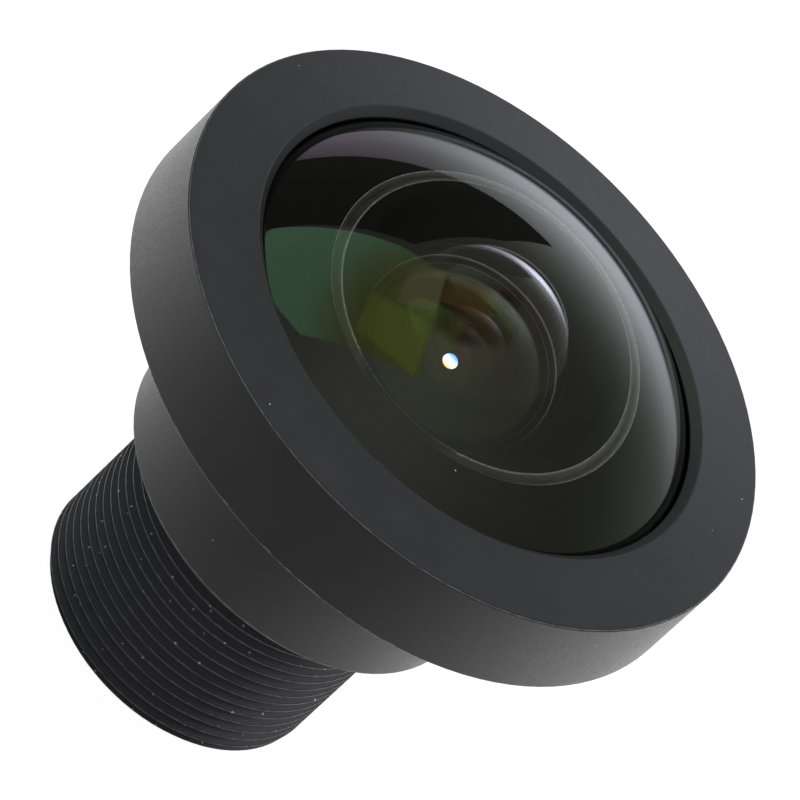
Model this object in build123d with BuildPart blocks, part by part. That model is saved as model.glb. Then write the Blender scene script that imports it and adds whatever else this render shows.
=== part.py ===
from build123d import *
import os
from math import asin, copysign, cos, floor, radians, sin, sqrt, tan

# A fisheye lens for a board camera, standing on its rear end.
# The optical axis is +Z, towards the scene, and the origin is the centre of the rear end face.
# Lengths are millimetres, and every height is measured from the rear end face.

os.makedirs("parts", exist_ok=True)

# Shank and plain middle of the barrel
thread_radius = 6.0
shank_length = 8.12
shoulder_width = 1.58
end_chamfer = 0.33
collar_length = 0.1
mid_chamfer = 0.25

# Thread form, shared by the shank and both screwed rings
pitch = 0.5
depth_share = 0.54
crest_share = 0.125
mouth_share = 0.6
flank_angle = 30
thread_start = 37
screw_clearance = 0.1
relief_length = 0.4
relief_depth = 0.08

# Gaps
bore_gap = 0.05
film_gap = 0.05

# Rear ring and filter, counted up from the rear end
shank_wall = 1.35
rear_ring_recess = 0.9
rear_ring_thickness = 0.9
rear_ring_width = 1.25
slot_width = 0.8
slot_depth = 0.4
rear_thread_run = 0.5
filter_thickness = 0.3
filter_spacer_thickness = 1.03

# Rear element: its reach is where the curved faces end and the flats begin
rear_step = 0.5
rear_land = 0.85
rear_edge_thickness = 0.59
rear_front_radius = 50.0
rear_rear_radius = 7.8

# Cemented pair
pair_gap = 0.2
pair_wall = 0.85
flint_thickness = 0.7
flint_rear_radius = 5.3
crown_edge_thickness = 0.3
cemented_radius = 4.5
crown_front_radius = 60.0
crown_front_land = 0.3
ledge_width = 0.2
ledge_thickness = 0.5
fourth_spacer_thickness = 0.44

# Fifth element, behind the stop
fifth_edge_thickness = 1.26
fifth_front_radius = 60.0
fifth_front_land = 1.55
fifth_rear_radius = 60.0
fifth_rear_land = 1.45
third_spacer_thickness = 0.77

# Aperture stop, and the barrel's shelf that it lies under
stop_thickness = 0.12
stop_hole_radius = 0.8
shelf_thickness = 1.52
shelf_hole_radius = 2.0

# Fourth element
fourth_edge_thickness = 2.68
fourth_front_radius = 30.0
fourth_front_land = 0.9
fourth_rear_radius = 60.0
fourth_rear_land = 1.0
second_spacer_thickness = 0.28

# Third element
third_edge_thickness = 1.47
third_front_radius = 22.5
third_front_land = 0.6
third_rear_radius = 5.0
third_rear_land = 1.4
first_spacer_thickness = 0.74

# Second element, a meniscus inside the hollow of the first
second_edge_radius = 5.2
second_step = 1.0
second_front_radius = 9.0
second_front_land = 0.3
second_thickness = 0.83
second_rear_reach = 3.1
second_rear_margin = 0.25
second_bevel_width = 0.25
second_bevel_depth = 0.14
second_washer_thickness = 0.13
second_mouth_chamfer = 0.25

# Front element, a thick meniscus: its dome rises above the ring's face
dome_radius = 13.1
front_edge_radius = 10.0
front_edge_thickness = 1.02
hollow_rim = 5.05
hollow_margin = 0.1
hollow_bevel_width = 0.3
hollow_rim_drop = 0.25

# Front sealing ring, squeezed in a groove of the seat
seal_inset = 1.6
seal_width = 0.7
seal_height = 0.6
seal_corner = 0.2

# Front gasket, a narrow strip that follows the dome, in a groove behind the ring's lip
gasket_outer_inset = 0.05
gasket_thickness = 0.2

# Head of the barrel, inside the front ring
head_wall = 1.35
head_chamfer = 0.33
head_recess = 0.1
pocket_wall_height = 0.58

# Front ring
ring_wall = 1.2
ring_depth = 3.88
ring_edge = 0.08
ring_headroom = 0.25
lip_overlap = 0.5
lip_width = 0.15
lip_land = 0.1
lip_height = 0.37
lip_slope = 0.32
lip_fillet = 0.12
face_rise = 0.37


def sag(radius, reach):
    """How far a spherical face of that radius falls away from its vertex, at that distance from the axis."""
    return radius - sqrt(radius ** 2 - reach ** 2)


def halfway(vertex, radius, reach):
    """A point of the face's outline about half way between the axis and its reach.

    A radius above zero bulges to the front, and one below zero to the rear.
    """
    return (reach / 2, vertex - copysign(sag(abs(radius), reach / 2), radius))


# Threads: the crest is the flat that the cut leaves, and the root is the bottom of the cut
thread_depth = depth_share * pitch
crest_width = crest_share * pitch
thread_mouth = mouth_share * crest_width
shank_root = thread_radius - thread_depth

# Radii of the rear group, from the shank's wall inwards
mid_radius = thread_radius + shoulder_width
collar_radius = thread_radius + bore_gap
rear_ring_thread_radius = thread_radius - shank_wall
rear_ring_inner_radius = rear_ring_thread_radius - rear_ring_width
rear_ring_root = rear_ring_thread_radius - thread_depth
rear_bore_crest = rear_ring_root + screw_clearance
rear_bore_root = rear_bore_crest + thread_depth
rear_group_radius = rear_ring_thread_radius - rear_step
rear_bore = rear_group_radius + bore_gap
rear_reach = rear_group_radius - rear_land
pair_edge_radius = rear_group_radius - pair_wall
pair_bore = pair_edge_radius + bore_gap
crown_front_reach = pair_edge_radius - crown_front_land
ledge_radius = pair_edge_radius - ledge_width
fifth_front_reach = rear_group_radius - fifth_front_land
fifth_rear_reach = rear_group_radius - fifth_rear_land

# Radii of the front group
second_bore = second_edge_radius + bore_gap
second_front_reach = second_edge_radius - second_front_land
second_rear_radius = second_rear_reach + second_rear_margin
inner_edge_radius = second_edge_radius - second_step
front_bore = inner_edge_radius + bore_gap
third_front_reach = inner_edge_radius - third_front_land
third_rear_reach = inner_edge_radius - third_rear_land
fourth_front_reach = inner_edge_radius - fourth_front_land
fourth_rear_reach = inner_edge_radius - fourth_rear_land
hollow_radius = hollow_rim + hollow_margin

# Radii of the head and the front ring, from the dome's edge outwards
pocket_radius = front_edge_radius + bore_gap
seal_radius = front_edge_radius - seal_inset
head_thread_radius = pocket_radius + head_wall
head_root = head_thread_radius - thread_depth
ring_crest = head_root + screw_clearance
ring_root = ring_crest + thread_depth
ring_radius = head_thread_radius + ring_wall
lip_radius = front_edge_radius - lip_overlap
face_inner_radius = lip_radius + lip_slope
groove_radius = lip_radius + lip_width
gasket_inner_radius = groove_radius + film_gap
gasket_outer_radius = front_edge_radius - gasket_outer_inset

# Heights of the rear group, each piece standing on the flat of the one behind it
rear_ring_top = rear_ring_recess + rear_ring_thickness
rear_thread_top = rear_ring_top + rear_thread_run
filter_top = rear_ring_top + filter_thickness
rear_rear_flat = filter_top + filter_spacer_thickness
rear_rear = rear_rear_flat - sag(rear_rear_radius, rear_reach)
rear_front_flat = rear_rear_flat + rear_edge_thickness
rear_front = rear_front_flat + sag(rear_front_radius, rear_reach)
flint_rear = rear_front + pair_gap
flint_edge = flint_rear + sag(flint_rear_radius, pair_edge_radius)
cemented_face = flint_rear + flint_thickness
cemented_edge = cemented_face + sag(cemented_radius, pair_edge_radius)
crown_front_flat = cemented_edge + crown_edge_thickness
crown_front = crown_front_flat + sag(crown_front_radius, crown_front_reach)
fifth_rear_flat = crown_front_flat + fourth_spacer_thickness
fifth_rear = fifth_rear_flat - sag(fifth_rear_radius, fifth_rear_reach)
fifth_front_flat = fifth_rear_flat + fifth_edge_thickness
fifth_front = fifth_front_flat + sag(fifth_front_radius, fifth_front_reach)
stop_bottom = fifth_front_flat + third_spacer_thickness
stop_top = stop_bottom + stop_thickness

# Heights of the front group, from the shelf up to the seat of the front element
fourth_rear_flat = stop_top + shelf_thickness
fourth_rear = fourth_rear_flat - sag(fourth_rear_radius, fourth_rear_reach)
fourth_front_flat = fourth_rear_flat + fourth_edge_thickness
fourth_front = fourth_front_flat + sag(fourth_front_radius, fourth_front_reach)
third_rear_flat = fourth_front_flat + second_spacer_thickness
third_rear = third_rear_flat + sag(third_rear_radius, third_rear_reach)
third_front_flat = third_rear_flat + third_edge_thickness
third_front = third_front_flat + sag(third_front_radius, third_front_reach)
second_back = third_front_flat + first_spacer_thickness
second_rim_height = second_back + second_bevel_depth
second_rear = second_rim_height + sag(second_rear_radius, second_rear_reach)
second_front = second_rear + second_thickness
second_front_flat = second_front - sag(second_front_radius, second_front_reach)
washer_top = second_front_flat + second_washer_thickness
hollow_rim_height = washer_top + film_gap
seat_height = hollow_rim_height + hollow_rim_drop

# Heights of the front element and what holds it
pocket_top = seat_height + pocket_wall_height
dome_edge = seat_height + front_edge_thickness
dome_top = dome_edge + sag(dome_radius, front_edge_radius)
dome_centre = dome_top - dome_radius
front_rear = hollow_rim_height + sag(hollow_radius, hollow_rim)
gasket_radius = dome_radius + film_gap
gasket_top_radius = gasket_radius + gasket_thickness
under_radius = gasket_top_radius + film_gap
groove_top = dome_centre + sqrt(under_radius ** 2 - groove_radius ** 2)
groove_bottom = dome_centre + sqrt(gasket_radius ** 2 - groove_radius ** 2)
lip_bottom = dome_centre + sqrt(gasket_radius ** 2 - lip_radius ** 2)
face_height = lip_bottom + lip_height - face_rise
mid_top = face_height - ring_depth
head_bottom = mid_top + head_recess


def thread_cutter(crest_radius, bottom, top, inward):
    """A helical cutter for a right-hand thread: inward is 1 on a shaft and -1 in a bore."""
    root_radius = crest_radius - inward * thread_depth
    mouth_radius = crest_radius + inward * thread_mouth
    slope = tan(radians(flank_angle))
    half_crest_cut = (pitch - crest_width) / 2
    half_root = half_crest_cut - thread_depth * slope
    half_mouth = half_crest_cut + thread_mouth * slope
    with BuildPart() as cutter:
        with BuildLine() as helix:
            Helix(pitch, top - bottom, crest_radius, center=(0, 0, bottom))
        with BuildSketch(Plane.XZ):
            with BuildLine():
                Polyline(
                    (root_radius, bottom - half_root),
                    (mouth_radius, bottom - half_mouth),
                    (mouth_radius, bottom + half_mouth),
                    (root_radius, bottom + half_root),
                    close=True,
                )
            make_face()
        sweep(path=helix.line, is_frenet=True)
    return cutter.part.rotate(Axis.Z, thread_start)


def in_step(mate_bottom, bottom):
    """Start of a cutter a pitch or more below bottom, half a pitch out of step with its mate's."""
    turns = floor((bottom - pitch - mate_bottom) / pitch - 1 / 2)
    return mate_bottom + (turns + 1 / 2) * pitch


# Barrel: threaded shank, plain middle and threaded head, bored in steps from both ends
head_start = head_bottom - pitch / 2
rear_bore_start = -pitch
collar_bottom = shank_length - collar_length
shank_cutter = thread_cutter(thread_radius, -pitch, collar_bottom - relief_length / 2 - bore_gap, 1)
head_cutter = thread_cutter(head_thread_radius, head_start, pocket_top + pitch / 2, 1)
rear_bore_cutter = thread_cutter(rear_bore_crest, rear_bore_start, rear_thread_top - relief_length / 2, -1)

with BuildPart() as barrel:
    with BuildSketch(Plane.XZ):
        with BuildLine():
            Polyline(
                (rear_bore_crest, 0),
                (rear_bore_crest, rear_thread_top),
                (rear_bore, rear_thread_top),
                (rear_bore, stop_top),
                (shelf_hole_radius, stop_top),
                (fourth_rear_reach + bore_gap, fourth_rear_flat),
                (front_bore, fourth_rear_flat),
                (front_bore, second_back),
                (second_bore, second_back),
                (second_bore, seat_height - second_mouth_chamfer),
                (second_bore + second_mouth_chamfer, seat_height),
                (pocket_radius, seat_height),
                (pocket_radius, pocket_top),
                (head_thread_radius - head_chamfer, pocket_top),
                (head_thread_radius, pocket_top - head_chamfer),
                (head_thread_radius, head_bottom + head_chamfer),
                (head_thread_radius - head_chamfer, head_bottom),
                (mid_radius, head_bottom),
                (mid_radius, shank_length + mid_chamfer),
                (mid_radius - mid_chamfer, shank_length),
                (collar_radius, shank_length),
                (collar_radius, collar_bottom),
                (thread_radius, collar_bottom),
                (thread_radius, end_chamfer),
                (thread_radius - end_chamfer, 0),
                close=True,
            )
        make_face()
    revolve(axis=Axis.Z)
    add(shank_cutter, mode=Mode.SUBTRACT)
    add(head_cutter, mode=Mode.SUBTRACT)
    add(rear_bore_cutter, mode=Mode.SUBTRACT)
    with BuildSketch(Plane.XY.offset(collar_bottom - relief_length)):
        Circle(mid_radius)
        Circle(shank_root - relief_depth, mode=Mode.SUBTRACT)
    extrude(amount=relief_length, mode=Mode.SUBTRACT)
    with BuildSketch(Plane.XY.offset(rear_thread_top - relief_length)):
        Circle(rear_bore_root + relief_depth)
    extrude(amount=relief_length, mode=Mode.SUBTRACT)
    with BuildSketch(Plane.XY.offset(seat_height - seal_height)):
        Circle(seal_radius + seal_width / 2 + bore_gap)
        Circle(seal_radius - seal_width / 2 - bore_gap, mode=Mode.SUBTRACT)
    extrude(amount=seal_height, mode=Mode.SUBTRACT)
barrel.part.label = "barrel"
export_step(barrel.part, "parts/barrel.step")

# Front ring: a cap that screws over the barrel's head and holds the dome through the gasket
ceiling = pocket_top + ring_headroom
ceiling_radius = sqrt(under_radius ** 2 - (ceiling - dome_centre) ** 2)
under_middle_radius = (ceiling_radius + groove_radius) / 2
under_middle = dome_centre + sqrt(under_radius ** 2 - under_middle_radius ** 2)
ring_start = in_step(head_start, mid_top)
ring_cutter = thread_cutter(ring_crest, ring_start, ceiling - relief_length / 2, -1)

with BuildPart() as front_ring:
    with BuildSketch(Plane.XZ) as ring_profile:
        with BuildLine():
            ThreePointArc(
                (ceiling_radius, ceiling),
                (under_middle_radius, under_middle),
                (groove_radius, groove_top),
            )
            Polyline(
                (groove_radius, groove_top),
                (groove_radius, groove_bottom),
                (lip_radius, lip_bottom),
                (lip_radius, lip_bottom + lip_land),
                (face_inner_radius, lip_bottom + lip_height),
                (ring_radius - ring_edge, face_height),
                (ring_radius, face_height - ring_edge),
                (ring_radius, mid_top + ring_edge),
                (ring_radius - ring_edge, mid_top),
                (ring_crest, mid_top),
                (ring_crest, ceiling),
                (ceiling_radius, ceiling),
            )
        make_face()
        fillet(ring_profile.vertices().sort_by(Axis.Y)[-1], radius=lip_fillet)
    revolve(axis=Axis.Z)
    add(ring_cutter, mode=Mode.SUBTRACT)
    with BuildSketch(Plane.XY.offset(ceiling - relief_length)):
        Circle(ring_root + relief_depth)
        Circle(ceiling_radius, mode=Mode.SUBTRACT)
    extrude(amount=relief_length, mode=Mode.SUBTRACT)
front_ring.part.label = "front_ring"
export_step(front_ring.part, "parts/front_ring.step")

# Front gasket: a strip of two spheres about the dome's own centre
gasket_start = asin(gasket_inner_radius / gasket_radius)
gasket_end = asin(gasket_outer_radius / gasket_radius)


def about_dome(radius, angle):
    """A point of the outline at that radius from the dome's centre, angle away from the axis."""
    return (radius * sin(angle), dome_centre + radius * cos(angle))


with BuildPart() as front_gasket:
    with BuildSketch(Plane.XZ):
        with BuildLine():
            gasket_middle = (gasket_start + gasket_end) / 2
            ThreePointArc(
                about_dome(gasket_radius, gasket_start),
                about_dome(gasket_radius, gasket_middle),
                about_dome(gasket_radius, gasket_end),
            )
            Line(about_dome(gasket_radius, gasket_end), about_dome(gasket_top_radius, gasket_end))
            ThreePointArc(
                about_dome(gasket_top_radius, gasket_end),
                about_dome(gasket_top_radius, gasket_middle),
                about_dome(gasket_top_radius, gasket_start),
            )
            Line(about_dome(gasket_top_radius, gasket_start), about_dome(gasket_radius, gasket_start))
        make_face()
    revolve(axis=Axis.Z)
front_gasket.part.label = "front_gasket"
export_step(front_gasket.part, "parts/front_gasket.step")

# Front sealing ring, as it lies squeezed under the front element
with BuildPart() as front_seal:
    with BuildSketch(Plane.XZ):
        with Locations((seal_radius, seat_height - seal_height / 2)):
            RectangleRounded(seal_width, seal_height, seal_corner)
    revolve(axis=Axis.Z)
front_seal.part.label = "front_seal"
export_step(front_seal.part, "parts/front_seal.step")

# Front element: dome, edge, flat seat, and a ground cone down to the rim of the deep hollow
with BuildPart() as front_element:
    with BuildSketch(Plane.XZ):
        with BuildLine():
            ThreePointArc(
                (0, dome_top),
                halfway(dome_top, dome_radius, front_edge_radius),
                (front_edge_radius, dome_edge),
            )
            Polyline(
                (front_edge_radius, dome_edge),
                (front_edge_radius, seat_height),
                (hollow_rim + hollow_bevel_width, seat_height),
                (hollow_rim, hollow_rim_height),
            )
            ThreePointArc(
                (hollow_rim, hollow_rim_height),
                halfway(front_rear, hollow_radius, hollow_rim),
                (0, front_rear),
            )
            Line((0, front_rear), (0, dome_top))
        make_face()
    revolve(axis=Axis.Z)
front_element.part.label = "front_element"
export_step(front_element.part, "parts/front_element.step")

# Second element: a steep meniscus with a ground bevel round its own hollow
with BuildPart() as second_element:
    with BuildSketch(Plane.XZ):
        with BuildLine():
            ThreePointArc(
                (0, second_front),
                halfway(second_front, second_front_radius, second_front_reach),
                (second_front_reach, second_front_flat),
            )
            Polyline(
                (second_front_reach, second_front_flat),
                (second_edge_radius, second_front_flat),
                (second_edge_radius, second_back),
                (second_rear_reach + second_bevel_width, second_back),
                (second_rear_reach, second_rim_height),
            )
            ThreePointArc(
                (second_rear_reach, second_rim_height),
                halfway(second_rear, second_rear_radius, second_rear_reach),
                (0, second_rear),
            )
            Line((0, second_rear), (0, second_front))
        make_face()
    revolve(axis=Axis.Z)
second_element.part.label = "second_element"
export_step(second_element.part, "parts/second_element.step")


def make_lens(name, edge_radius, front, front_radius, front_corner, rear, rear_radius, rear_corner):
    """A round lens of two spherical faces, each with a flat from its corner out to the edge."""
    front_reach, front_flat = front_corner
    rear_reach, rear_flat = rear_corner
    with BuildPart() as lens:
        with BuildSketch(Plane.XZ):
            with BuildLine():
                ThreePointArc((0, front), halfway(front, front_radius, front_reach), (front_reach, front_flat))
                Polyline(
                    (front_reach, front_flat),
                    (edge_radius, front_flat),
                    (edge_radius, rear_flat),
                    (rear_reach, rear_flat),
                )
                ThreePointArc((rear_reach, rear_flat), halfway(rear, rear_radius, rear_reach), (0, rear))
                Line((0, rear), (0, front))
            make_face()
        revolve(axis=Axis.Z)
    lens.part.label = name
    export_step(lens.part, f"parts/{name}.step")


make_lens(
    "third_element", inner_edge_radius,
    third_front, third_front_radius, (third_front_reach, third_front_flat),
    third_rear, third_rear_radius, (third_rear_reach, third_rear_flat),
)
make_lens(
    "fourth_element", inner_edge_radius,
    fourth_front, fourth_front_radius, (fourth_front_reach, fourth_front_flat),
    fourth_rear, -fourth_rear_radius, (fourth_rear_reach, fourth_rear_flat),
)
make_lens(
    "fifth_element", rear_group_radius,
    fifth_front, fifth_front_radius, (fifth_front_reach, fifth_front_flat),
    fifth_rear, -fifth_rear_radius, (fifth_rear_reach, fifth_rear_flat),
)
make_lens(
    "rear_element", rear_group_radius,
    rear_front, rear_front_radius, (rear_reach, rear_front_flat),
    rear_rear, -rear_rear_radius, (rear_reach, rear_rear_flat),
)

# Cemented pair: the crown's rear face is the flint's front face
with BuildPart() as pair_crown:
    with BuildSketch(Plane.XZ):
        with BuildLine():
            ThreePointArc(
                (0, crown_front),
                halfway(crown_front, crown_front_radius, crown_front_reach),
                (crown_front_reach, crown_front_flat),
            )
            Polyline(
                (crown_front_reach, crown_front_flat),
                (pair_edge_radius, crown_front_flat),
                (pair_edge_radius, cemented_edge),
            )
            ThreePointArc(
                (pair_edge_radius, cemented_edge),
                halfway(cemented_face, -cemented_radius, pair_edge_radius),
                (0, cemented_face),
            )
            Line((0, cemented_face), (0, crown_front))
        make_face()
    revolve(axis=Axis.Z)
pair_crown.part.label = "pair_crown"
export_step(pair_crown.part, "parts/pair_crown.step")

with BuildPart() as pair_flint:
    with BuildSketch(Plane.XZ):
        with BuildLine():
            ThreePointArc(
                (0, cemented_face),
                halfway(cemented_face, -cemented_radius, pair_edge_radius),
                (pair_edge_radius, cemented_edge),
            )
            Line((pair_edge_radius, cemented_edge), (pair_edge_radius, flint_edge))
            ThreePointArc(
                (pair_edge_radius, flint_edge),
                halfway(flint_rear, -flint_rear_radius, pair_edge_radius),
                (0, flint_rear),
            )
            Line((0, flint_rear), (0, cemented_face))
        make_face()
    revolve(axis=Axis.Z)
pair_flint.part.label = "pair_flint"
export_step(pair_flint.part, "parts/pair_flint.step")

# Sleeve that centres the cemented pair, with a ledge just behind the flint's rear face
ledge_height = flint_rear + sag(flint_rear_radius, ledge_radius) - film_gap

with BuildPart() as pair_sleeve:
    with BuildSketch(Plane.XZ):
        with BuildLine():
            Polyline(
                (rear_reach + bore_gap, rear_front_flat),
                (rear_group_radius, rear_front_flat),
                (rear_group_radius, crown_front_flat),
                (pair_bore, crown_front_flat),
                (pair_bore, ledge_height),
                (ledge_radius, ledge_height),
                (ledge_radius, ledge_height - ledge_thickness),
                close=True,
            )
        make_face()
    revolve(axis=Axis.Z)
pair_sleeve.part.label = "pair_sleeve"
export_step(pair_sleeve.part, "parts/pair_sleeve.step")


def make_spacer(name, outer_radius, inner_radius, bottom, top):
    """A flat ring that keeps two pieces apart."""
    with BuildPart() as spacer:
        with BuildSketch(Plane.XY.offset(bottom)):
            Circle(outer_radius)
            Circle(inner_radius, mode=Mode.SUBTRACT)
        extrude(amount=top - bottom)
    spacer.part.label = name
    export_step(spacer.part, f"parts/{name}.step")


make_spacer(
    "second_washer",
    second_edge_radius, second_front_reach + bore_gap,
    second_front_flat, washer_top,
)
make_spacer(
    "first_spacer",
    inner_edge_radius, third_front_reach + bore_gap,
    third_front_flat, second_back,
)
make_spacer(
    "second_spacer",
    inner_edge_radius, fourth_front_reach + bore_gap,
    fourth_front_flat, third_rear_flat,
)
make_spacer(
    "aperture_stop",
    rear_group_radius, stop_hole_radius,
    stop_bottom, stop_top,
)
make_spacer(
    "third_spacer",
    rear_group_radius, fifth_front_reach + bore_gap,
    fifth_front_flat, stop_bottom,
)
make_spacer(
    "fourth_spacer",
    rear_group_radius, crown_front_reach + bore_gap,
    crown_front_flat, fifth_rear_flat,
)
make_spacer(
    "filter_spacer",
    rear_group_radius, rear_reach + bore_gap,
    filter_top, rear_rear_flat,
)

# Infrared cut filter: a plain disc that lies on the rear ring
with BuildPart() as ir_cut_filter:
    with BuildSketch(Plane.XY.offset(rear_ring_top)):
        Circle(rear_bore_crest - bore_gap)
    extrude(amount=filter_thickness)
ir_cut_filter.part.label = "ir_cut_filter"
export_step(ir_cut_filter.part, "parts/ir_cut_filter.step")

# Rear ring: screwed into the shank's bore, with two slots for a pin spanner
rear_ring_start = in_step(rear_bore_start, rear_ring_recess)
rear_ring_cutter = thread_cutter(rear_ring_thread_radius, rear_ring_start, rear_ring_top + pitch, 1)

with BuildPart() as rear_ring:
    with BuildSketch(Plane.XY.offset(rear_ring_recess)):
        Circle(rear_ring_thread_radius)
        Circle(rear_ring_inner_radius, mode=Mode.SUBTRACT)
    extrude(amount=rear_ring_thickness)
    add(rear_ring_cutter, mode=Mode.SUBTRACT)
    with BuildSketch(Plane.XY.offset(rear_ring_recess)):
        Rectangle(2 * rear_ring_thread_radius, slot_width)
    extrude(amount=slot_depth, mode=Mode.SUBTRACT)
rear_ring.part.label = "rear_ring"
export_step(rear_ring.part, "parts/rear_ring.step")
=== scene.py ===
import math

import bpy
from mathutils import Matrix, Vector


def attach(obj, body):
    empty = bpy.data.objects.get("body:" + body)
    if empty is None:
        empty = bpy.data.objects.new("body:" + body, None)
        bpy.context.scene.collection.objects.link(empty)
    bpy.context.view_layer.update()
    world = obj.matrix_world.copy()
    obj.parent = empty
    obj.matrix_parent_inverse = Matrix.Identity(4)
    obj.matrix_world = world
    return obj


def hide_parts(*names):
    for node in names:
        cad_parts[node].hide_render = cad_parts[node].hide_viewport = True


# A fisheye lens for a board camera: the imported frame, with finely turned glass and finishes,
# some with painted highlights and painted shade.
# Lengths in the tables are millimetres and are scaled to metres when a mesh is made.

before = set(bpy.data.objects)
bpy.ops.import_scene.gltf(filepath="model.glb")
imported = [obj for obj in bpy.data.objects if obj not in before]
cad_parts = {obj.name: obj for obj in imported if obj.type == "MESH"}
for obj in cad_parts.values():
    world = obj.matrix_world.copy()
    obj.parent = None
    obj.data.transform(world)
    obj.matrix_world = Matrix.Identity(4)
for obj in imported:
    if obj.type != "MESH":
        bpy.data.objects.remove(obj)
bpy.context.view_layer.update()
scene = bpy.context.scene

MM = 0.001

# Sizes of the frame that the finishes need
RING_RADIUS = 12.6
FACE_HEIGHT = 19.429
RING_BOTTOM = 15.549
MID_RADIUS = 7.58
SHOULDER_HEIGHT = 8.12
THREAD_RADIUS = 6.0
STOP_RADIUS = 0.8

# The barrel's bores are black within the first radius, and in the wider head within the second
BORE_LIMIT = 5.6
HEAD_BORE_LIMIT = 10.6
BORE_STEP = 0.3
REAR_RING_TOP = 1.8

# The thread's finish: how far its crest is rubbed and painted as a highlight, how far inside it
# the flanks are painted paler as painted light, how far outside it the thread's dust ends
# and from where the metal is satin again
CREST_RUB_HIGHLIGHT = 0.06
FLANK_BELOW = 0.03
THREAD_CLEAR = 0.05
SATIN_FROM = 0.2

# Rubbed edges, painted lighter as rubbed metal and as a painted edge highlight: each is a circle's
# radius and height, and how far from it the rubbing reaches
RING_CORNER = 0.04
MID_CHAMFER = 0.25
RING_EDGES = (
    (RING_RADIUS - RING_CORNER, FACE_HEIGHT - RING_CORNER, 0.020),
    (RING_RADIUS - RING_CORNER, RING_BOTTOM + RING_CORNER, 0.085),
)
BARREL_EDGES = (
    (MID_RADIUS, SHOULDER_HEIGHT + MID_CHAMFER, 0.05),
    (MID_RADIUS - MID_CHAMFER, SHOULDER_HEIGHT, 0.05),
)

# Glass: each row is a piece's edge radius, front face, rear face, refractive index and coating.
# A face is its vertex height, its radius (above zero bulges to the front) and its reach.
LENSES = {
    "third_element": (4.2, (15.2995, 22.5, 3.6), (14.3971, 5.0, 2.8), 1.53, (0.12, 0.22, 0.18)),
    "fourth_element": (4.2, (13.4417, 30.0, 3.3), (10.4942, -60.0, 3.2), 1.85, (0.14, 0.04, 0.03)),
    "fifth_element": (4.15, (8.2260, 60.0, 2.6), (6.8488, -60.0, 2.7), 1.60, (0.10, 0.14, 0.20)),
    "pair_crown": (3.3, (6.5447, 60.0, 3.0), (4.7350, -4.5, 3.3), 1.60, (0.10, 0.16, 0.12)),
    "pair_flint": (3.3, (4.7290, -4.5, 3.3), (4.0290, -5.3, 3.3), 1.85, (0.08, 0.08, 0.14)),
    "rear_element": (4.15, (3.8290, 50.0, 3.3), (2.3975, -7.8, 3.3), 1.53, (0.12, 0.16, 0.16)),
}
DOME = {"edge": 10.0, "top": 23.4366, "radius": 13.1, "reach": 10.0, "seat": 17.7789}
HOLLOW = {"top": 21.6690, "radius": 5.15, "rim": 5.05, "rim_height": 17.5289, "bevel": 5.28}
SECOND = {"edge": 5.2, "top": 18.7998, "radius": 9.0, "reach": 4.9, "seat": 15.7496}
SECOND_HOLLOW = {"top": 17.9698, "radius": 3.35, "rim": 3.1, "rim_height": 15.8896, "bevel": 3.35}
FILTER = {"edge": 4.15, "bottom": 1.8, "top": 2.1}
FRONT_INDEX, SECOND_INDEX, FILTER_INDEX = 1.77, 1.60, 1.52
# Radii over which the bevel's painted shade goes from darker at its inner edge to paler
BEVEL_PAINTED_SHADE = (HOLLOW["rim"], 5.25)
# Radii of the chips along the bevel's outer edge, painted bright as a highlight
BEVEL_CHIPS_HIGHLIGHT = (5.21, 5.25)
FRINGE_MIDDLE = 0.3

# Colours
WHITE = (1, 1, 1, 1)
BLACK_LOW, BLACK_HIGH = (0.0170, 0.0174, 0.0194, 1), (0.0230, 0.0234, 0.0260, 1)
# Rubbed metal at edges and thread crests, also a painted highlight there
RUBBED_METAL_HIGHLIGHT = (0.13, 0.13, 0.135, 1)
PALE_DUST = (0.45, 0.45, 0.44, 1)
# Thread flanks painted paler than the black: painted light on the thread
FLANK_PAINTED_LIGHT = (0.066, 0.066, 0.074, 1)
BORE_BLACK = (0.004, 0.004, 0.004, 1)

# Specular levels of the anodised faces and of the thread
SATIN_GLOSS = 0.66
THREAD_GLOSS = 0.25

# Depths of the bumps
GRAIN_DEPTH = 0.006 * MM
TURNING_DEPTH = 0.004 * MM
CHIP_DEPTH = 0.02 * MM

# Surroundings. A direction is its azimuth from +X to +Y and its elevation, in degrees.
# Each glow is its centre, the width at which it falls to 1/e, its share and its colour.
ROOM = (0.14, 0.14, 0.14, 1)
GLOWS = (
    ((88, 1), 23, 1.0, (1.20, 1.26, 1.42, 1)),
    ((48, 8), 20, 0.5, (0.28, 0.36, 0.32, 1)),
    ((124, -2), 15, 0.8, (0.46, 0.38, 0.53, 1)),
    ((-100, 62), 45, 0.22, (1.1, 1.1, 1.3, 1)),
)
# The window is green low down and olive high up, and changes between these sines of the elevation.
WINDOW_CHANGE = (0.66, 0.90)
WINDOW_GREEN, WINDOW_OLIVE = (0.40, 0.74, 0.56, 1), (0.33, 0.35, 0.15, 1)
# Each card is its colour, or None for the window, the softness of its edges and its corners.
DARK_CARD = (0.05, 0.05, 0.05, 1)
CARDS = (
    (DARK_CARD, 0.004, ((150, -3), (172, 10), (163, 24), (140, 51), (102, 36), (92, 21))),
    (DARK_CARD, 0.04, ((128, 60), (150, 78), (90, 84), (70, 66), (90, 52))),
    (None, 0.004, ((163, 24), (140, 51), (126, 61), (-105, 78), (-152, 45), (178, 20))),
    ((0.47, 0.52, 0.16, 1), 0.01, ((173, 60), (156, 78), (-108, 77), (-157, 61))),
    ((0.50, 0.45, 0.30, 1), 0.01, ((142, 58), (124, 59), (142, 74), (168, 67))),
    ((0.26, 0.17, 0.07, 1), 0.01, ((123, 60), (96, 59), (91, 70), (133, 70))),
)
# Soft light on matt surfaces
SOFT_LIGHT = {"centre": (90, 45), "width": 55, "least": 0.22, "added": 0.6}

# A ray's depth above one of these has bounced at least once, or has gone through four glass faces
BOUNCED = 0.5
DEEP_IN_GLASS = 3.5

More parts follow.
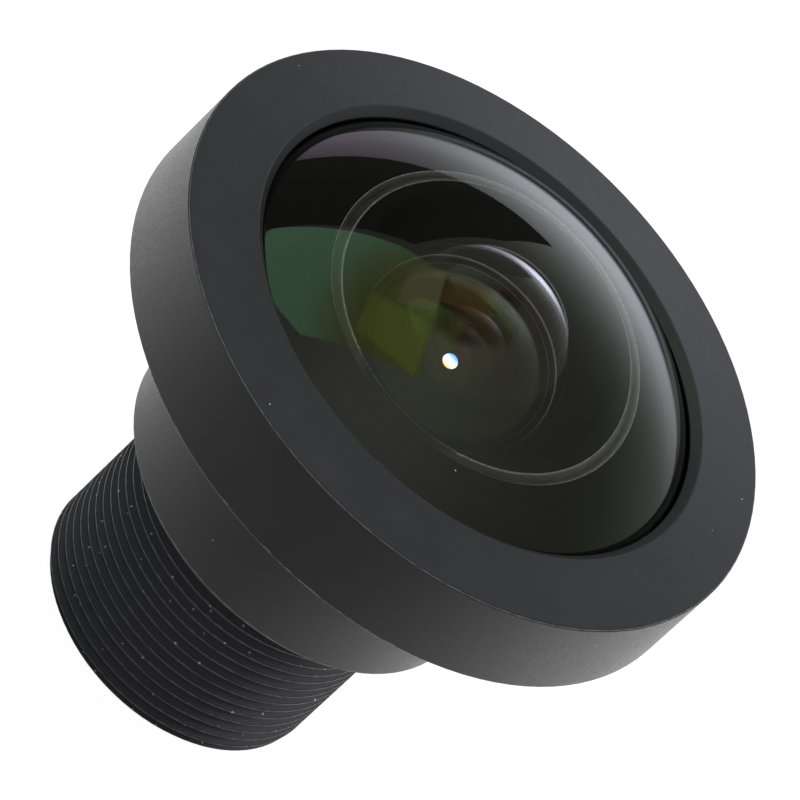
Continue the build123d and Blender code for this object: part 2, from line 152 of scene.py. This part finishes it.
# Floor. In reflections it is bright near the lens and dark further out, then shows the surroundings.
FLOOR_SIDES = 64
FLOOR_REACH = 1.2
FLOOR_HEIGHT = -0.02 * MM
FLOOR_STRENGTH = 1.08
FLOOR_SHADOWLESS = 0.90
FLOOR_PAINT = (0.9, 0.9, 0.9, 1)
FLOOR_IN_PUPIL = (1.7, 1.7, 1.7, 1)
FLOOR_BELT = (0.05, 0.05, 0.05, 1)
NEAR_FLOOR = (0.042, 0.055)
FAR_FLOOR = (0.075, 0.12)
FRONT_TO_BACK = (-0.028, 0.024)
FRONT_LEVEL, BACK_LEVEL = 0.17, 1.45
SIDE_SHARE = 0.45

# Lamps: each is its place, the side of its square and its power
LAMPS = {
    "lamp_above": ((-0.15, 0.20, 0.60), 0.4, 3.0),
    "lamp_right": ((0.16, 0.10, 0.10), 0.08, 0.32),
}
LAMP_AIM = Vector((0, 0, 0.012))
PICTURE_WIDTH = 800


# Node trees

class Tree:
    """Short ways to add and join nodes."""

    def __init__(self, node_tree):
        self.nodes = node_tree.nodes
        self.links = node_tree.links

    def add(self, kind, **settings):
        node = self.nodes.new(kind)
        for name, value in settings.items():
            setattr(node, name, value)
        return node

    def join(self, source, target):
        self.links.new(source, target)

    def put(self, value, socket):
        """A number, colour or vector is set on the socket. Another node's output is linked to it."""
        if isinstance(value, bpy.types.NodeSocket):
            self.join(value, socket)
        else:
            socket.default_value = value

    def math(self, operation, *values):
        node = self.add("ShaderNodeMath", operation=operation)
        for value, socket in zip(values, node.inputs):
            self.put(value, socket)
        return node.outputs[0]

    def hypotenuse(self, first, second):
        squares = [self.math("MULTIPLY", side, side) for side in (first, second)]
        return self.math("SQRT", self.math("ADD", *squares))

    def vector(self, operation, *values):
        node = self.add("ShaderNodeVectorMath", operation=operation)
        for value, socket in zip(values, node.inputs):
            self.put(value, socket)
        gives_number = operation in ("DOT_PRODUCT", "LENGTH")
        return node.outputs["Value" if gives_number else "Vector"]

    def split(self, vector):
        node = self.add("ShaderNodeSeparateXYZ")
        self.join(vector, node.inputs[0])
        return node.outputs

    def ramp(self, value, low, high, start=0.0, end=1.0):
        """Goes smoothly from start to end while value goes from low to high."""
        node = self.add("ShaderNodeMapRange", interpolation_type="SMOOTHSTEP")
        self.put(value, node.inputs["Value"])
        for name, number in (("From Min", low), ("From Max", high), ("To Min", start), ("To Max", end)):
            node.inputs[name].default_value = number
        return node.outputs["Result"]

    def band(self, value, middle, half_width):
        """1 at the middle and 0 beyond half_width."""
        away = self.math("ABSOLUTE", self.math("SUBTRACT", value, middle))
        return self.ramp(away, 0.0, half_width, 1.0, 0.0)

    def mix(self, factor, first, second):
        node = self.add("ShaderNodeMix", data_type="RGBA")
        self.put(factor, node.inputs["Factor"])
        for value, name in ((first, "A"), (second, "B")):
            socket = [s for s in node.inputs if s.name == name and s.type == "RGBA"][0]
            self.put(value, socket)
        return [s for s in node.outputs if s.type == "RGBA"][0]

    def mix_shaders(self, factor, first, second):
        node = self.add("ShaderNodeMixShader")
        for value, socket in zip((factor, first, second), node.inputs):
            self.join(value, socket)
        return node.outputs[0]

    def noise(self, vector, scale, detail, roughness):
        node = self.add("ShaderNodeTexNoise")
        self.put(vector, node.inputs["Vector"])
        node.inputs["Scale"].default_value = scale
        node.inputs["Detail"].default_value = detail
        node.inputs["Roughness"].default_value = roughness
        return node.outputs["Fac"]

    def bump(self, height, distance, strength, normal=None):
        node = self.add("ShaderNodeBump")
        self.put(height, node.inputs["Height"])
        node.inputs["Distance"].default_value = distance
        node.inputs["Strength"].default_value = strength
        if normal is not None:
            self.join(normal, node.inputs["Normal"])
        return node.outputs["Normal"]


def toward(azimuth, elevation):
    """The unit vector of a direction."""
    a, e = math.radians(azimuth), math.radians(elevation)
    return Vector((math.cos(e) * math.cos(a), math.cos(e) * math.sin(a), math.sin(e)))


def bare_material(name):
    """A new material, its empty tree and the socket for its surface."""
    material = bpy.data.materials.new(name)
    material.use_nodes = True
    material.node_tree.nodes.clear()
    tree = Tree(material.node_tree)
    return material, tree, tree.add("ShaderNodeOutputMaterial").inputs["Surface"]


def new_material(name):
    material, tree, surface = bare_material(name)
    shader = tree.add("ShaderNodeBsdfPrincipled")
    tree.join(shader.outputs[0], surface)
    return material, tree, shader


def reopen(material):
    """The tree and the shader of a material that new_material made."""
    tree = Tree(material.node_tree)
    return tree, [node for node in tree.nodes if node.type == "BSDF_PRINCIPLED"][0]


# Surroundings

def panel(tree, direction, corners, softness):
    """1 inside the patch of sky between these corners, which go round a convex shape."""
    points = [toward(*corner) for corner in corners]
    middle = sum(points, Vector()).normalized()
    inside = 1.0
    for first, second in zip(points, points[1:] + points[:1]):
        plane = first.cross(second).normalized()
        if plane.dot(middle) < 0:
            plane.negate()
        side = tree.ramp(tree.vector("DOT_PRODUCT", direction, plane), -softness, softness)
        inside = tree.math("MULTIPLY", inside, side)
    return inside


def glow(tree, direction, centre, width):
    """A soft round light of the sky, 1 at its centre and 1/e at width degrees."""
    spread = 1 - math.cos(math.radians(width))
    along = tree.vector("DOT_PRODUCT", direction, toward(*centre))
    return tree.math("EXPONENT", tree.math("DIVIDE", tree.math("SUBTRACT", along, 1.0), spread))


def surroundings(tree, direction):
    """What the glass mirrors: a bright backdrop low behind the lens, a window and cards."""
    seen = ROOM
    for centre, width, share, colour in GLOWS:
        amount = tree.math("MULTIPLY", glow(tree, direction, centre, width), share)
        seen = tree.mix(amount, seen, colour)
    high = tree.ramp(tree.vector("DOT_PRODUCT", direction, (0, 0, 1)), *WINDOW_CHANGE)
    window = tree.mix(high, WINDOW_GREEN, WINDOW_OLIVE)
    for colour, softness, corners in CARDS:
        seen = tree.mix(panel(tree, direction, corners, softness), seen, colour or window)
    return seen


def make_world():
    """White behind everything, soft light on matt surfaces, and the surroundings in reflections."""
    world = bpy.data.worlds.new("studio")
    scene.world = world
    world.use_nodes = True
    world.cycles.sampling_method = "NONE"
    world.node_tree.nodes.clear()
    tree = Tree(world.node_tree)
    direction = tree.add("ShaderNodeTexCoord").outputs["Generated"]
    path = tree.add("ShaderNodeLightPath").outputs
    back = glow(tree, direction, SOFT_LIGHT["centre"], SOFT_LIGHT["width"])
    soft = tree.math("ADD", SOFT_LIGHT["least"], tree.math("MULTIPLY", back, SOFT_LIGHT["added"]))
    reflected = tree.math("GREATER_THAN", path["Glossy Depth"], BOUNCED)
    scattered = tree.math("GREATER_THAN", path["Diffuse Depth"], BOUNCED)
    colour = tree.mix(reflected, WHITE, surroundings(tree, direction))
    background = tree.add("ShaderNodeBackground")
    tree.join(tree.mix(scattered, colour, soft), background.inputs["Color"])
    output = tree.add("ShaderNodeOutputWorld")
    tree.join(background.outputs[0], output.inputs["Surface"])


def mirrored_floor(tree, place):
    """The floor's colour in reflections. Far out it is what the dome's top would see past it."""
    x, y, _ = tree.split(place)
    distance = tree.vector("LENGTH", place)
    near = tree.ramp(distance, *NEAR_FLOOR, 1.0, 0.0)
    far = tree.ramp(distance, *FAR_FLOOR)
    aside = tree.math("MULTIPLY", tree.math("ABSOLUTE", x), SIDE_SHARE)
    level = tree.ramp(tree.math("ADD", y, aside), *FRONT_TO_BACK, FRONT_LEVEL, BACK_LEVEL)
    from_dome = tree.vector("SUBTRACT", place, (0, 0, DOME["top"] * MM))
    direction = tree.vector("NORMALIZE", from_dome)
    outside = tree.mix(far, FLOOR_BELT, surroundings(tree, direction))
    return tree.mix(near, outside, level)


def make_floor():
    """A round white floor under the lens, clear from below."""
    mesh = bpy.data.meshes.new("floor")
    angles = [math.tau * i / FLOOR_SIDES for i in range(FLOOR_SIDES)]
    corners = [(FLOOR_REACH * math.cos(a), FLOOR_REACH * math.sin(a), FLOOR_HEIGHT) for a in angles]
    mesh.from_pydata(corners, [], [list(range(FLOOR_SIDES))])
    floor = bpy.data.objects.new("floor", mesh)
    scene.collection.objects.link(floor)

    material, tree, surface = bare_material("floor_white")
    path = tree.add("ShaderNodeLightPath").outputs
    mirrored = mirrored_floor(tree, tree.add("ShaderNodeTexCoord").outputs["Object"])
    reflected = tree.math("GREATER_THAN", path["Glossy Depth"], BOUNCED)
    through = tree.math("GREATER_THAN", path["Transmission Depth"], DEEP_IN_GLASS)
    plain = tree.mix(through, WHITE, FLOOR_IN_PUPIL)
    emission = tree.add("ShaderNodeEmission")
    tree.join(tree.mix(reflected, plain, mirrored), emission.inputs["Color"])
    emission.inputs["Strength"].default_value = FLOOR_STRENGTH
    diffuse = tree.add("ShaderNodeBsdfDiffuse")
    diffuse.inputs["Color"].default_value = FLOOR_PAINT
    indirect = tree.math("MAXIMUM", path["Is Glossy Ray"], path["Is Transmission Ray"])
    direct = tree.math("MULTIPLY", path["Is Camera Ray"], FLOOR_SHADOWLESS)
    share = tree.math("MAXIMUM", indirect, direct)
    top = tree.mix_shaders(share, diffuse.outputs[0], emission.outputs[0])
    from_below = tree.add("ShaderNodeNewGeometry").outputs["Backfacing"]
    clear = tree.add("ShaderNodeBsdfTransparent").outputs[0]
    tree.join(tree.mix_shaders(from_below, top, clear), surface)
    mesh.materials.append(material)


def make_lamp(name, place, size, power):
    """A soft square lamp that points at the middle of the lens and isn't seen in reflections."""
    light = bpy.data.lights.new(name, "AREA")
    light.size = size
    light.energy = power
    lamp = bpy.data.objects.new(name, light)
    scene.collection.objects.link(lamp)
    lamp.location = place
    lamp.rotation_euler = (LAMP_AIM - lamp.location).to_track_quat("-Z", "Y").to_euler()
    lamp.visible_glossy = False
    lamp.visible_transmission = False


def make_camera():
    """The photograph's view of the lens, whose axis is tilted and rolled in the picture."""
    tilt, roll, distance = 0.912, 0.758, 329.956
    focal, across, down = 9119.117, 77.656, -64.72
    # The frame's axes in the camera's coordinates, which are right, down and away from it
    lean = math.sin(tilt)
    z_axis = Vector((lean * math.cos(roll), -lean * math.sin(roll), -math.cos(tilt)))
    x_axis = Vector((math.sin(roll), math.cos(roll), 0))
    y_axis = z_axis.cross(x_axis)
    to_frame = Matrix((x_axis, y_axis, z_axis))
    face_centre = Vector((across / focal * distance, down / focal * distance, distance))
    place = to_frame @ -face_centre + Vector((0, 0, FACE_HEIGHT))
    rotation = to_frame @ Matrix(((1, 0, 0), (0, -1, 0), (0, 0, -1)))

    data = bpy.data.cameras.new("camera")
    data.sensor_width = 36.0
    data.lens = focal / PICTURE_WIDTH * data.sensor_width
    data.clip_start = 0.01
    data.clip_end = 10.0
    camera = bpy.data.objects.new("camera", data)
    scene.collection.objects.link(camera)
    camera.matrix_world = Matrix.Translation(place * MM) @ rotation.to_4x4()
    scene.camera = camera


# Finishes

def lens_place(tree):
    """Object coordinates in millimetres."""
    scale = tree.add("ShaderNodeVectorMath", operation="SCALE")
    tree.join(tree.add("ShaderNodeTexCoord").outputs["Object"], scale.inputs[0])
    scale.inputs["Scale"].default_value = 1 / MM
    return scale.outputs[0]


def round_axis(tree, place):
    """A place's distance from the axis, and its height."""
    x, y, height = tree.split(place)
    return tree.hypotenuse(x, y), height


def turning_place(tree, radius, height):
    """A texture place that is the same all round the axis, for marks left by turning."""
    join = tree.add("ShaderNodeCombineXYZ")
    tree.join(radius, join.inputs[0])
    tree.join(height, join.inputs[2])
    return join.outputs[0]


def specks(tree, place, spacing, size, share):
    """Small round specks of dust: about one in each spacing, and share of them kept."""
    cells = tree.add("ShaderNodeTexVoronoi", feature="F1")
    tree.join(place, cells.inputs["Vector"])
    cells.inputs["Scale"].default_value = 1 / spacing
    near = tree.ramp(cells.outputs["Distance"], 0.5 * size / spacing, size / spacing, 1.0, 0.0)
    chance = tree.add("ShaderNodeSeparateColor")
    tree.join(cells.outputs["Color"], chance.inputs[0])
    kept = tree.math("LESS_THAN", chance.outputs[0], share)
    return tree.math("MULTIPLY", near, kept)


def rubbing(tree, radius, height, chips, edges):
    """1 where an edge is rubbed to the metal and painted as a highlight. Chips make the rubbing uneven.
    """
    wear_and_highlight = 0.0
    for edge_radius, edge_height, width in edges:
        off = tree.math("SUBTRACT", radius, edge_radius)
        up = tree.math("SUBTRACT", height, edge_height)
        uneven = tree.ramp(chips, 0.35, 0.75, 0.45, 1.6)
        limit = tree.math("MULTIPLY", uneven, width)
        away = tree.math("DIVIDE", tree.hypotenuse(off, up), limit)
        wear_and_highlight = tree.math("MAXIMUM", wear_and_highlight, tree.ramp(away, 0.6, 1.0, 1.0, 0.0))
    return wear_and_highlight


def thread_and_bores(tree, radius, height, crest, dust, colour):
    """The colour and the specular level, with black bores and dull flanks under the crest,
    which are painted paler as painted light.
    """
    wall = tree.ramp(height, RING_BOTTOM, RING_BOTTOM + BORE_STEP, BORE_LIMIT, HEAD_BORE_LIMIT)
    within = tree.math("LESS_THAN", radius, wall)
    inside = tree.math("MULTIPLY", within, tree.math("GREATER_THAN", height, REAR_RING_TOP))
    # Painted light: the flanks under the crest are painted paler
    flank = tree.math("LESS_THAN", radius, crest - FLANK_BELOW)
    for cover in (inside, dust):
        flank = tree.math("MULTIPLY", flank, tree.math("SUBTRACT", 1.0, cover))
    colour = tree.mix(flank, colour, FLANK_PAINTED_LIGHT)
    colour = tree.mix(inside, colour, BORE_BLACK)
    gloss = tree.ramp(radius, crest + THREAD_CLEAR, crest + SATIN_FROM, THREAD_GLOSS, SATIN_GLOSS)
    return colour, tree.math("MULTIPLY", gloss, tree.ramp(inside, 0.0, 1.0, 1.0, 0.1))


def anodised(name, edges, crest=None):
    """Satin black anodised aluminium, rubbed at its edges, with faint turning marks and dust.
    The rubbed metal is also a painted edge highlight.

    A crest is the radius of an outside thread, which is rubbed there and painted with a highlight,
    has flanks painted paler as painted light, and gathers more dust.
    """
    material, tree, shader = new_material(name)
    place = lens_place(tree)
    radius, height = round_axis(tree, place)
    cloud = tree.noise(place, scale=0.55, detail=3.0, roughness=0.6)
    grain = tree.noise(place, scale=9.0, detail=3.0, roughness=0.6)
    chips = tree.noise(place, scale=3.2, detail=4.0, roughness=0.7)
    turned = tree.noise(turning_place(tree, radius, height), scale=14.0, detail=3.0, roughness=0.6)

    wear_and_highlight = rubbing(tree, radius, height, chips, edges)
    dust = specks(tree, place, spacing=1.2, size=0.035, share=0.4)
    if crest:
        # The crest's rubbed metal, also painted as a highlight along the thread
        chipped = tree.ramp(chips, 0.40, 0.70, 0.08, 0.55)
        top = tree.math("MULTIPLY", tree.band(radius, crest, CREST_RUB_HIGHLIGHT), chipped)
        wear_and_highlight = tree.math("MAXIMUM", wear_and_highlight, top)
        on_thread = tree.math("LESS_THAN", radius, crest + THREAD_CLEAR)
        more_dust = specks(tree, place, spacing=0.42, size=0.07, share=0.5)
        dust = tree.math("MAXIMUM", dust, tree.math("MULTIPLY", on_thread, more_dust))

    colour = tree.mix(cloud, BLACK_LOW, BLACK_HIGH)
    # Rubbed metal at edges and crest, also a painted highlight
    colour = tree.mix(wear_and_highlight, colour, RUBBED_METAL_HIGHLIGHT)
    colour = tree.mix(dust, colour, PALE_DUST)
    gloss = SATIN_GLOSS
    if crest:
        colour, gloss = thread_and_bores(tree, radius, height, crest, dust, colour)
    tree.join(colour, shader.inputs["Base Color"])
    tree.put(gloss, shader.inputs["Specular IOR Level"])
    rough = tree.math("ADD", tree.ramp(grain, 0.3, 0.7, 0.36, 0.46), tree.math("MULTIPLY", cloud, 0.06))
    tree.join(rough, shader.inputs["Roughness"])
    grained = tree.bump(grain, GRAIN_DEPTH, strength=0.6)
    tree.join(tree.bump(turned, TURNING_DEPTH, 0.5, grained), shader.inputs["Normal"])
    return material


def matte_black(name, shade, roughness, grain_size, sheen):
    """Matte black: blackened spacers, the stop and the rubber rings."""
    material, tree, shader = new_material(name)
    grain = tree.noise(lens_place(tree), scale=1 / grain_size, detail=3.0, roughness=0.6)
    low = (shade * 0.7, shade * 0.7, shade * 0.72, 1)
    high = (shade * 1.3, shade * 1.3, shade * 1.33, 1)
    tree.join(tree.mix(grain, low, high), shader.inputs["Base Color"])
    rough = tree.ramp(grain, 0.3, 0.7, roughness - 0.06, roughness + 0.06)
    tree.join(rough, shader.inputs["Roughness"])
    shader.inputs["Specular IOR Level"].default_value = sheen
    tree.join(tree.bump(grain, GRAIN_DEPTH, strength=0.6), shader.inputs["Normal"])
    return material


def polished(name, index, tint, body=(1, 1, 1)):
    """Polished and coated glass: the coating's tint colours what the glass reflects."""
    material, _, shader = new_material(name)
    shader.inputs["Transmission Weight"].default_value = 1.0
    shader.inputs["Roughness"].default_value = 0.0
    shader.inputs["IOR"].default_value = index
    shader.inputs["Specular Tint"].default_value = (*tint, 1)
    shader.inputs["Base Color"].default_value = (*body, 1)
    return material


def add_dust(material):
    """A few pale specks on the outside of the dome."""
    tree, shader = reopen(material)
    dust = specks(tree, lens_place(tree), spacing=1.3, size=0.045, share=0.45)
    tree.join(tree.math("SUBTRACT", 1.0, dust), shader.inputs["Transmission Weight"])
    tree.join(tree.mix(dust, WHITE, (0.35, 0.35, 0.34, 1)), shader.inputs["Base Color"])


def add_fringe(material):
    """Colours the light just behind the stop, so that the pupil has a blue and an orange edge."""
    tree, shader = reopen(material)
    along = tree.vector("DOT_PRODUCT", lens_place(tree), (0, 1, 0))
    along = tree.math("SUBTRACT", along, FRINGE_MIDDLE)
    inner, outer = 0.25 * STOP_RADIUS, 0.9 * STOP_RADIUS
    colour = tree.mix(tree.ramp(along, inner, outer), WHITE, (0.15, 0.38, 1.0, 1))
    colour = tree.mix(tree.ramp(along, -outer, -inner, 1.0, 0.0), colour, (1.0, 0.55, 0.12, 1))
    tree.join(colour, shader.inputs["Base Color"])


def painted(name):
    """The blackened flats of a lens, seen through the glass, a little dusty."""
    material, tree, shader = new_material(name)
    cloud = tree.noise(lens_place(tree), scale=0.9, detail=4.0, roughness=0.6)
    colour = tree.mix(cloud, (0.003, 0.003, 0.003, 1), (0.009, 0.009, 0.008, 1))
    tree.join(colour, shader.inputs["Base Color"])
    shader.inputs["Roughness"].default_value = 0.9
    shader.inputs["Specular IOR Level"].default_value = 0.0
    return material


def ground(name):
    """The ground bevel round a hollow, finely chipped along its outer edge, with painted light and
    shade:
    paler at the back and towards its outer edge, darker in front and at its inner edge,
    and the chips at its outer edge painted bright as a highlight.
    """
    material, tree, shader = new_material(name)
    place = lens_place(tree)
    radius, _ = round_axis(tree, place)
    chips = tree.noise(place, scale=16.0, detail=5.0, roughness=0.75)
    # Painted light and shade: paler towards the back, darker in front
    behind = tree.ramp(tree.vector("DOT_PRODUCT", place, (0.4, 0.9, 0)), -3.0, 4.0)
    pale = tree.mix(tree.ramp(chips, 0.35, 0.65), (0.30, 0.30, 0.27, 1), (0.60, 0.60, 0.56, 1))
    # Painted shade: darker towards the inner edge
    pale = tree.mix(tree.ramp(radius, *BEVEL_PAINTED_SHADE), (0.17, 0.17, 0.15, 1), pale)
    colour = tree.mix(behind, (0.10, 0.10, 0.09, 1), pale)
    # The chips at the outer edge, painted bright as a highlight
    chips_highlight = tree.math("MULTIPLY", tree.ramp(radius, *BEVEL_CHIPS_HIGHLIGHT), tree.ramp(chips, 0.40, 0.55))
    tree.join(tree.mix(chips_highlight, colour, (0.95, 0.95, 0.92, 1)), shader.inputs["Base Color"])
    shader.inputs["Roughness"].default_value = 0.7
    shader.inputs["Specular IOR Level"].default_value = 0.0
    tree.join(tree.bump(chips, CHIP_DEPTH, strength=0.8), shader.inputs["Normal"])
    return material


# Turned pieces

# Places of the finishes in a turned piece's list of materials
POLISHED, PAINTED, GROUND, HOLLOWED = 0, 1, 2, 3
TURNS = 224
ARC_STEP = 0.16
LEAST_STEPS = 10
ON_AXIS = 1e-6
SHARP_ANGLE = math.radians(20)


def face_arc(vertex, radius, reach):
    """Points of a spherical face from the axis out to its reach."""
    size = abs(radius)
    end = math.asin(reach / size)
    steps = max(LEAST_STEPS, round(end * size / ARC_STEP))
    sign = math.copysign(1, radius)
    return [(size * math.sin(end * i / steps), vertex - sign * size * (1 - math.cos(end * i / steps)))
            for i in range(steps + 1)]


def circle(radius, height):
    """The corners of one turn round the axis, in metres."""
    angles = [math.tau * i / TURNS for i in range(TURNS)]
    return [(radius * math.cos(a) * MM, radius * math.sin(a) * MM, height * MM) for a in angles]


def turn(name, runs, materials, nodes, body):
    """A closed piece turned about the axis.

    Its outline goes from the axis round to the axis, in runs. A run is its points and its finish,
    and it starts at the last point of the run before.
    """
    points, finishes = [], []
    for outline, finish in runs:
        for point in outline if not points else outline[1:]:
            if points:
                finishes.append(finish)
            points.append(point)
    vertices, rings = [], []
    for radius, height in points:
        first = len(vertices)
        if radius < ON_AXIS:
            rings.append([first] * TURNS)
            vertices.append((0, 0, height * MM))
        else:
            rings.append(list(range(first, first + TURNS)))
            vertices.extend(circle(radius, height))
    faces, indices = [], []
    for ring, after, finish in zip(rings, rings[1:], finishes):
        for i in range(TURNS):
            j = (i + 1) % TURNS
            corners = [ring[i], after[i], after[j], ring[j]]
            faces.append(list(dict.fromkeys(corners)))
            indices.append(finish)
    mesh = bpy.data.meshes.new(name)
    mesh.from_pydata(vertices, [], faces)
    for material in materials:
        mesh.materials.append(material)
    mesh.polygons.foreach_set("material_index", indices)
    mesh.shade_smooth()
    mesh.set_sharp_from_angle(angle=SHARP_ANGLE)
    mesh.update()
    piece = bpy.data.objects.new(name, mesh)
    scene.collection.objects.link(piece)
    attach(piece, body)
    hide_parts(*nodes)


def make_meniscus(name, node, front, hollow, finishes):
    """A lens with a deep hollow behind, a ground bevel round it and blackened flats."""
    edge, seat, bevel = front["edge"], front["seat"], hollow["bevel"]
    crown = face_arc(front["top"], front["radius"], front["reach"])
    shoulder = crown[-1][1]
    runs = [(crown, POLISHED)]
    if edge > front["reach"]:
        runs.append(([crown[-1], (edge, shoulder)], PAINTED))
    runs += [
        ([(edge, shoulder), (edge, seat)], PAINTED),
        ([(edge, seat), (bevel, seat)], PAINTED),
        ([(bevel, seat), (hollow["rim"], hollow["rim_height"])], GROUND),
        (face_arc(hollow["top"], hollow["radius"], hollow["rim"])[::-1], HOLLOWED),
    ]
    turn(name, runs, finishes, [node], "barrel")


def make_lens(name, node, edge, front, rear, finishes):
    """A lens with two polished faces and blackened flats."""
    crown, back = face_arc(*front), face_arc(*rear)
    upper, lower = (edge, crown[-1][1]), (edge, back[-1][1])
    runs = [(crown, POLISHED)]
    if edge > front[2]:
        runs.append(([crown[-1], upper], PAINTED))
    runs.append(([upper, lower], PAINTED))
    if edge > rear[2]:
        runs.append(([lower, back[-1]], PAINTED))
    runs.append((back[::-1], POLISHED))
    turn(name, runs, finishes, [node], "barrel")


make_world()
make_floor()
for lamp, (lamp_place, lamp_size, lamp_power) in LAMPS.items():
    make_lamp(lamp, lamp_place, lamp_size, lamp_power)
make_camera()

scene.view_settings.view_transform = "Standard"
scene.cycles.max_bounces = 48
scene.cycles.transmission_bounces = 48
scene.cycles.glossy_bounces = 12
scene.cycles.diffuse_bounces = 4

# Housing
housing = {
    "front_ring": anodised("ring_anodised", RING_EDGES),
    "barrel": anodised("barrel_anodised", BARREL_EDGES, crest=THREAD_RADIUS),
    "rear_ring": anodised("rear_ring_anodised", ()),
}
inside_black = matte_black("spacer_black", shade=0.004, roughness=0.8, grain_size=0.12, sheen=0.05)
rubber = matte_black("seal_rubber", shade=0.008, roughness=0.6, grain_size=0.08, sheen=0.2)
stop_black = matte_black("stop_black", shade=0.004, roughness=0.85, grain_size=0.06, sheen=0.05)
for spacer in (
    "second_washer", "first_spacer", "second_spacer", "third_spacer", "fourth_spacer", "pair_sleeve",
    "filter_spacer",
):
    housing[spacer] = inside_black
housing["front_gasket"] = rubber
housing["front_seal"] = rubber
housing["aperture_stop"] = stop_black
for node, material in housing.items():
    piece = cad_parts[node]
    piece.data.materials.clear()
    piece.data.materials.append(material)

# Glass
black_paint = painted("lens_edge_black")
ground_glass = ground("ground_bevel")
front_glass = polished("front_glass", FRONT_INDEX, (0.95, 1.0, 0.76))
add_dust(front_glass)
front_hollow_glass = polished("front_hollow_glass", FRONT_INDEX, (0.34, 0.22, 0.09))
make_meniscus(
    "front_element_glass", "front_element", DOME, HOLLOW,
    [front_glass, black_paint, ground_glass, front_hollow_glass],
)
second_glass = polished("second_glass", SECOND_INDEX, (0.45, 0.62, 0.10))
second_hollow_glass = polished("second_hollow_glass", SECOND_INDEX, (0.50, 0.13, 0.11))
make_meniscus(
    "second_element_glass", "second_element", SECOND, SECOND_HOLLOW,
    [second_glass, black_paint, black_paint, second_hollow_glass],
)
for node, (edge, front, rear, index, tint) in LENSES.items():
    glass = polished(node + "_polish", index, tint)
    if node == "fifth_element":
        add_fringe(glass)
    make_lens(node + "_glass", node, edge, front, rear, [glass, black_paint])
edge, bottom, top = FILTER["edge"], FILTER["bottom"], FILTER["top"]
turn(
    "ir_cut_filter_glass",
    [
        ([(0, top), (edge, top)], POLISHED),
        ([(edge, top), (edge, bottom)], PAINTED),
        ([(edge, bottom), (0, bottom)], POLISHED),
    ],
    [polished("filter_polish", FILTER_INDEX, (0.9, 0.35, 0.45), (0.97, 0.99, 1.0)), black_paint],
    ["ir_cut_filter"], "filter",
)
